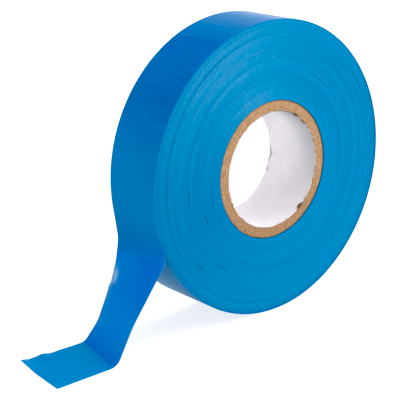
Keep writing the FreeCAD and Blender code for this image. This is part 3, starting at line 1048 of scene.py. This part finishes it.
def build_liner():
    """Thin paper tube with a torn front edge and a nicked back edge, standing off the core in places."""
    angle = np.linspace(0, 360, LINER_STATIONS + 1)[:-1]
    share = np.linspace(0, 1, 41)
    front, back = liner_edges(angle)
    y = -(HALF - front)[:, None] * (1 - share) + (HALF - back)[:, None] * share
    lift = 0.03 * ring_waver(angle, 340, 3, 14)[:, None] * np.ones_like(y)
    loose_lip = 0.10 * np.clip(ring_waver(angle, 341, 6, 26), 0, 1)
    lift = lift + loose_lip[:, None] * bump(share, 0.0, 0.06)[None, :]
    inner = BORE + 0.02 - lift
    outer = inner + LINER - 0.06
    turned = np.broadcast_to(angle[:, None], y.shape)
    sheets = []
    for radius in (inner, outer):
        x, z = polar(turned, radius)
        sheets.append(np.stack([x, y, z], axis=-1))
    loops = np.concatenate([sheets[0], sheets[1][:, ::-1]], axis=1)
    thing = loft("core_liner_paper", loops, LINER_LOOK, closed=True, smooth_deg=50.0)
    # The first share holds stains and painted shadow at the tears, the second painted shade.
    for name, values in (("deep", liner_stains(angle, share)), ("painted_shade", liner_shade(turned, y))):
        point_values(thing, name, np.concatenate([values, values[:, ::-1]], axis=1))
    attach(thing, "roll")
    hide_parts("core_liner")


build_liner()


# ---- stage, light and camera ----


def build_floor():
    """Wide pale floor just under the tape."""
    reach, gap = 4000.0, 0.02
    z = FLOOR - gap
    points = [(-reach, -reach, z), (reach, -reach, z), (reach, reach, z), (-reach, reach, z)]
    floor = make_mesh("studio_floor", points, [(0, 1, 2, 3)], floor_material())


def direction_to(azimuth, elevation):
    """Unit vector from the roll, with azimuth 0 at -Y and 90 degrees at +X."""
    a, e = math.radians(azimuth), math.radians(elevation)
    return Vector((math.sin(a) * math.cos(e), -math.cos(a) * math.cos(e), math.sin(e)))


def area_light(name, azimuth, elevation, distance, size, watts):
    """Square soft light that faces the roll."""
    data = bpy.data.lights.new(name, "AREA")
    data.shape = "SQUARE"
    data.size = size * MM
    data.energy = watts
    lamp = bpy.data.objects.new(name, data)
    bpy.context.scene.collection.objects.link(lamp)
    back = direction_to(azimuth, elevation)
    lamp.location = back * distance * MM
    lamp.rotation_mode = "QUATERNION"
    lamp.rotation_quaternion = (-back).to_track_quat("-Z", "Y")


WORLD_LIGHT = 1.85
# Darker parts of the studio: direction, cosines where each starts and where it is full, share of light lost.
DARK_PARTS = (
    ((-0.30, 0.74, 0.60), 0.72, 0.96, 0.9),
    ((-0.65, -0.70, 0.28), 0.30, 0.95, 0.6),
    ((0.50, 0.70, 0.50), 0.83, 0.97, 0.65),
)


def build_world():
    """White surroundings: plain to the camera, and as a light darker round it and behind the roll."""
    world = bpy.data.worlds.new("studio")
    world.use_nodes = True
    tree = world.node_tree
    tree.nodes.clear()

    def value_node(kind, *inputs, **settings):
        node = tree.nodes.new("ShaderNode" + kind)
        for key, value in settings.items():
            setattr(node, key, value)
        for index, value in inputs:
            if isinstance(value, bpy.types.NodeSocket):
                tree.links.new(value, node.inputs[index])
            else:
                node.inputs[index].default_value = value
        return node

    direction = tree.nodes.new("ShaderNodeTexCoord").outputs["Generated"]
    light = WORLD_LIGHT
    for towards, start, full, loss in DARK_PARTS:
        towards = Vector(towards).normalized()
        dot = value_node("VectorMath", (0, direction), (1, towards), operation="DOT_PRODUCT")
        limits = ((0, dot.outputs["Value"]), (1, start), (2, full), (3, 0.0), (4, loss * WORLD_LIGHT))
        dark = value_node("MapRange", *limits, interpolation_type="SMOOTHSTEP").outputs[0]
        light = value_node("Math", (0, light), (1, dark), operation="SUBTRACT").outputs[0]
    seen = tree.nodes.new("ShaderNodeLightPath").outputs["Is Camera Ray"]
    unseen = value_node("Math", (0, 1.0), (1, seen), operation="SUBTRACT").outputs[0]
    light = value_node("Math", (0, light), (1, unseen), operation="MULTIPLY").outputs[0]
    strength = value_node("Math", (0, light), (1, seen), operation="ADD").outputs[0]
    glow = value_node("Background", ("Color", (1, 1, 1, 1)), ("Strength", strength))
    out = tree.nodes.new("ShaderNodeOutputWorld")
    tree.links.new(glow.outputs[0], out.inputs["Surface"])
    bpy.context.scene.world = world


def build_camera():
    """Camera at the photograph's viewing angle: azimuth -42 and elevation 16 degrees, tilted slightly."""
    tilt = math.radians(1.464)
    distance = 335.8 * MM
    aim = Vector((-18.47, 0.0, -6.66)) * MM
    data = bpy.data.cameras.new("camera")
    data.lens = 108.63
    data.sensor_width = 36.0
    data.clip_start = 0.01
    data.clip_end = 50.0
    camera = bpy.data.objects.new("camera", data)
    bpy.context.scene.collection.objects.link(camera)
    place = direction_to(-42.02, 16.30) * distance
    look = (aim - place).to_track_quat("-Z", "Y").to_matrix() @ Matrix.Rotation(-tilt, 3, "Z")
    camera.matrix_world = Matrix.Translation(place) @ look.to_4x4()
    bpy.context.scene.camera = camera


def build_grading():
    """Plain display colours, with the deepest reds taken to black, as in a vivid print."""
    view = bpy.context.scene.view_settings
    view.view_transform = "Standard"
    view.use_curve_mapping = True
    view.curve_mapping.black_level = (0.075, 0.0, 0.0)


build_floor()
build_world()
area_light("key", 35.0, 45.0, 900.0, 700.0, 1.8)
build_camera()
build_grading()
